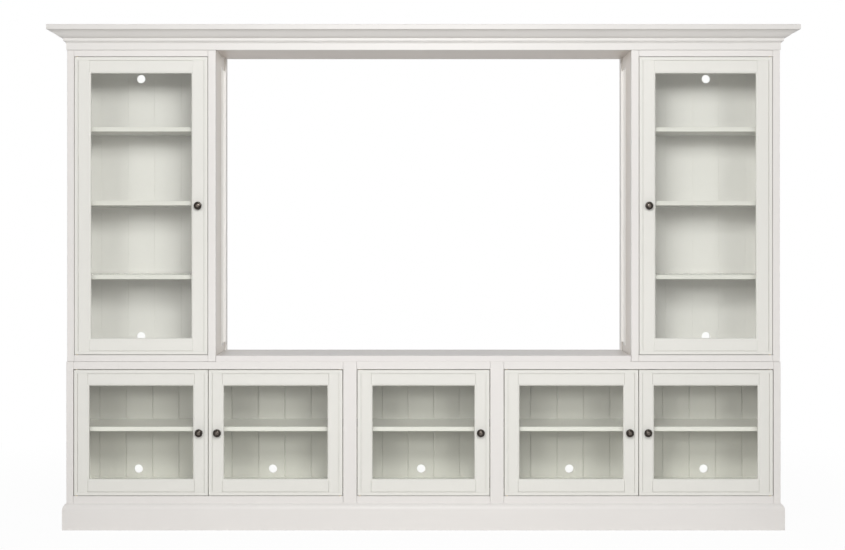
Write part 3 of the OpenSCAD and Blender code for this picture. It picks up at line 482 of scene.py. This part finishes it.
def lay_floor(stage):
    """A wide floor just under the plinth, which catches the shadow and looks white away from it."""
    corners = [(FLOOR_HALF * x, FLOOR_HALF * y, 0.0) for x, y in ((-1, -1), (1, -1), (1, 1), (-1, 1))]
    mesh = bpy.data.meshes.new("floor")
    mesh.from_pydata(corners, [], [(0, 1, 2, 3)])
    floor = put_in_scene("floor", mesh)
    floor.location.z = -FLOOR_DROP
    shading = Shading("floor")
    shading.set(Base_Color=FLOOR_COLOUR, Roughness=0.8)
    glow = shading.add("ShaderNodeEmission", Color=WHITE, Strength=1.0)
    coordinates = shading.add("ShaderNodeTexCoord")
    reach = shading.add("ShaderNodeVectorMath", {"operation": "LENGTH"})
    shading.feed(reach.inputs["Vector"], coordinates.outputs["Object"])
    white = shading.spread(reach.outputs["Value"], stage.floor_white, 1.0, known=FLOOR_FADE)
    shading.swap(shading.work_out("MULTIPLY", shading.seen_rays(), white), glow.outputs["Emission"])
    mesh.materials.append(shading.material)


def light_room(scene, stage):
    """A room that fills the shade a little and looks white where it is seen."""
    scene.world = bpy.data.worlds.new("room")
    scene.world.use_nodes = True
    tree = NodeTree(scene.world.node_tree)
    strength = tree.spread(tree.seen_rays(), stage.fill, 1.0, known=(0.0, 1.0))
    tree.feed_all(tree.nodes["Background"], {"Color": WHITE, "Strength": strength})
    scene.view_settings.view_transform = "Standard"


# Operators


class WALLUNIT_OT_camera(bpy.types.Operator):
    """Stand the camera straight in front of the unit"""

    bl_idname = "wallunit.camera"
    bl_label = "Camera"

    def execute(self, context):
        stage = context.scene.wall_unit_stage
        face_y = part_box("base_stiles")[0].y
        data = bpy.data.cameras.new("camera")
        data.lens = stage.lens
        data.sensor_width = 36.0
        data.shift_x = stage.shift_x
        data.shift_y = stage.shift_y
        data.clip_end = 100.0
        camera = put_in_scene("camera", data)
        camera.location = (0.0, face_y - stage.camera_distance, stage.camera_height)
        camera.rotation_euler = (math.pi / 2, 0.0, 0.0)
        context.scene.camera = camera
        return {"FINISHED"}


class WALLUNIT_OT_cases(bpy.types.Operator):
    """Paint the plinth, the base's sides and top, and all face frames"""

    bl_idname = "wallunit.cases"
    bl_label = "Cases"

    def execute(self, context):
        paint = context.scene.wall_unit_paint
        dress(CASE_NODES, paint_material("case_paint", paint.case, "X", paint))
        return {"FINISHED"}


class WALLUNIT_OT_hutches(bpy.types.Operator):
    """Paint the hutches' cases: the case paint outside, painted light on the sides towards the bay and a
    greener painted shade inside
    """

    bl_idname = "wallunit.hutches"
    bl_label = "Hutches"

    def execute(self, context):
        paint = context.scene.wall_unit_paint
        end, bay = (abs(corner.x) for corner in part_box("hutch_left_case"))
        # The sides towards the bay take painted light, the ends take the case paint, and the rest of the
        # inside takes painted shade
        faces = ((bay, paint.bay), (end, paint.case))
        dress(HUTCH_CASES, paint_material("hutch_side_paint_painted_light_and_shade", paint.hutch_inside, "Z", paint, faces=faces))
        return {"FINISHED"}


class WALLUNIT_OT_bay(bpy.types.Operator):
    """Paint the deck, the platform and the battens of the bay, with painted shade on the deck and painted
    light on the battens
    """

    bl_idname = "wallunit.bay"
    bl_label = "Bay"

    def execute(self, context):
        paint = context.scene.wall_unit_paint
        dress(["bridge_deck"], paint_material("deck_paint_painted_shade", paint.deck, "X", paint))
        dress(["tv_platform"], paint_material("platform_paint", paint.platform, "X", paint))
        dress(["bay_battens"], paint_material("batten_paint_painted_light", paint.batten, "Z", paint))
        return {"FINISHED"}


class WALLUNIT_OT_cornice(bpy.types.Operator):
    """Paint the frieze and the crown moulding"""

    bl_idname = "wallunit.cornice"
    bl_label = "Cornice"

    def execute(self, context):
        paint = context.scene.wall_unit_paint
        dress(TRIM_NODES, paint_material("moulding_paint", paint.trim, "X", paint))
        return {"FINISHED"}


class WALLUNIT_OT_doors(bpy.types.Operator):
    """Paint the frames of the doors"""

    bl_idname = "wallunit.doors"
    bl_label = "Doors"

    def execute(self, context):
        paint = context.scene.wall_unit_paint
        dress(of_each_door("frame"), paint_material("door_paint", paint.door, "Z", paint))
        return {"FINISHED"}


class WALLUNIT_OT_shelves(bpy.types.Operator):
    """Paint the shelves and the base's floors, smoother than the cases: lighter in the base for painted
    light, darker in the hutches for painted shade
    """

    bl_idname = "wallunit.shelves"
    bl_label = "Shelves"

    def execute(self, context):
        paint = context.scene.wall_unit_paint
        roughness = paint.shelf_roughness
        dress(BASE_SHELVES, paint_material("base_shelf_paint_painted_light", paint.base_shelf, "X", paint, roughness))
        dress(HUTCH_SHELVES, paint_material("hutch_shelf_paint_painted_shade", paint.hutch_shelf, "X", paint, roughness))
        return {"FINISHED"}


class WALLUNIT_OT_backs(bpy.types.Operator):
    """Paint the planked backs, the partitions and the rails under the floors: darker in the base for painted
    shade, lighter in the hutches for painted light
    """

    bl_idname = "wallunit.backs"
    bl_label = "Backs"

    def execute(self, context):
        paint = context.scene.wall_unit_paint
        dress(BASE_BACKS, paint_material("base_plank_paint_painted_shade", paint.base_back, "Z", paint))
        dress(HUTCH_BACKS, paint_material("hutch_plank_paint_painted_light", paint.hutch_back, "Z", paint))
        return {"FINISHED"}


class WALLUNIT_OT_glass(bpy.types.Operator):
    """Glaze the doors"""

    bl_idname = "wallunit.glass"
    bl_label = "Glass"

    def execute(self, context):
        dress(of_each_door("glass"), glass_material("door_glass", context.scene.wall_unit_glass))
        return {"FINISHED"}


class WALLUNIT_OT_knobs(bpy.types.Operator):
    """Finish the knobs in dark bronze, with rubbed wear and a painted highlight on their fronts"""

    bl_idname = "wallunit.knobs"
    bl_label = "Knobs"

    def execute(self, context):
        dress(of_each_door("knob"), bronze_material("knob_bronze", context.scene.wall_unit_fittings))
        return {"FINISHED"}


class WALLUNIT_OT_fittings(bpy.types.Operator):
    """Finish the pivots, bolts, shelf pins, bushes and catches, and the bare wood in the cornice"""

    bl_idname = "wallunit.fittings"
    bl_label = "Fittings"

    def execute(self, context):
        colours = context.scene.wall_unit_fittings
        steel = metal_material("steel", colours.steel, STEEL_ROUGHNESS)
        dress([*of_each_door("pivots"), "connector_bolts"], steel)
        dress(BRASS_NODES, metal_material("brass", colours.brass, BRASS_ROUGHNESS))
        dress(["door_catches"], plastic_material("catch_plastic", colours.plastic))
        dress(BARE_NODES, wood_material("inner_wood", colours.wood))
        return {"FINISHED"}


class WALLUNIT_OT_stage(bpy.types.Operator):
    """Set up the white floor, the light of the room and the lamps"""

    bl_idname = "wallunit.stage"
    bl_label = "Stage"

    def execute(self, context):
        stage = context.scene.wall_unit_stage
        lay_floor(stage)
        light_room(context.scene, stage)
        for name, x in (("lamp_far_left", -FAR_LAMP_SIDE), ("lamp_far_right", FAR_LAMP_SIDE)):
            add_lamp(name, stage.far_power, place=(x, -11.9, 3.0), target=(0.0, -0.1, 1.0), size=(2.4, 1.6))
        add_lamp(
            "lamp_front", stage.front_power,
            place=(0.0, -4.3, 2.5), target=(0.0, -0.1, 1.1), size=(1.0, 0.9), mirrored=True,
        )
        add_lamp(
            "lamp_near", stage.near_power,
            place=(0.0, -1.0, 1.3), target=(0.0, -0.1, 0.3), size=(3.2, 0.3), spread=90,
        )
        add_lamp(
            "lamp_top", stage.top_power,
            place=(0.0, 0.0, 3.4), target=(0.0, 0.0, 2.0), size=(2.8, 0.2), spread=45,
        )
        add_lamp(
            "lamp_back", stage.back_power,
            place=(0.0, 8.0, 1.3), target=(0.0, 0.2, 1.3), size=(3.0, 1.4),
        )
        return {"FINISHED"}


class WALLUNIT_PT_panel(bpy.types.Panel):
    """The wall unit's operators and values"""

    bl_idname = "WALLUNIT_PT_panel"
    bl_label = "Wall Unit"
    bl_space_type = "VIEW_3D"
    bl_region_type = "UI"
    bl_category = "Wall Unit"

    def draw(self, context):
        layout = self.layout
        for operator in OPERATORS:
            layout.operator(operator.bl_idname)
        for _, name in GROUPS:
            group = getattr(context.scene, name)
            box = layout.box()
            for key in group.__annotations__:
                box.prop(group, key)


GROUPS = (
    (WallUnitPaint, "wall_unit_paint"),
    (WallUnitGlass, "wall_unit_glass"),
    (WallUnitFittings, "wall_unit_fittings"),
    (WallUnitStage, "wall_unit_stage"),
)
OPERATORS = (
    WALLUNIT_OT_camera,
    WALLUNIT_OT_cases,
    WALLUNIT_OT_hutches,
    WALLUNIT_OT_bay,
    WALLUNIT_OT_cornice,
    WALLUNIT_OT_doors,
    WALLUNIT_OT_shelves,
    WALLUNIT_OT_backs,
    WALLUNIT_OT_glass,
    WALLUNIT_OT_knobs,
    WALLUNIT_OT_fittings,
    WALLUNIT_OT_stage,
)


def register():
    """Makes the groups, the operators and the panel known to Blender."""
    for group, name in GROUPS:
        bpy.utils.register_class(group)
        setattr(bpy.types.Scene, name, PointerProperty(type=group))
    for operator in OPERATORS:
        bpy.utils.register_class(operator)
    bpy.utils.register_class(WALLUNIT_PT_panel)


def unregister():
    """Takes them away again, in the reverse order."""
    bpy.utils.unregister_class(WALLUNIT_PT_panel)
    for operator in reversed(OPERATORS):
        bpy.utils.unregister_class(operator)
    for group, name in reversed(GROUPS):
        delattr(bpy.types.Scene, name)
        bpy.utils.unregister_class(group)


def main():
    """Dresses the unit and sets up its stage."""
    register()
    bpy.ops.wallunit.camera()
    bpy.ops.wallunit.cases()
    bpy.ops.wallunit.hutches()
    bpy.ops.wallunit.bay()
    bpy.ops.wallunit.cornice()
    bpy.ops.wallunit.doors()
    bpy.ops.wallunit.shelves()
    bpy.ops.wallunit.backs()
    bpy.ops.wallunit.glass()
    bpy.ops.wallunit.knobs()
    bpy.ops.wallunit.fittings()
    bpy.ops.wallunit.stage()


if __name__ == "__main__":
    main()
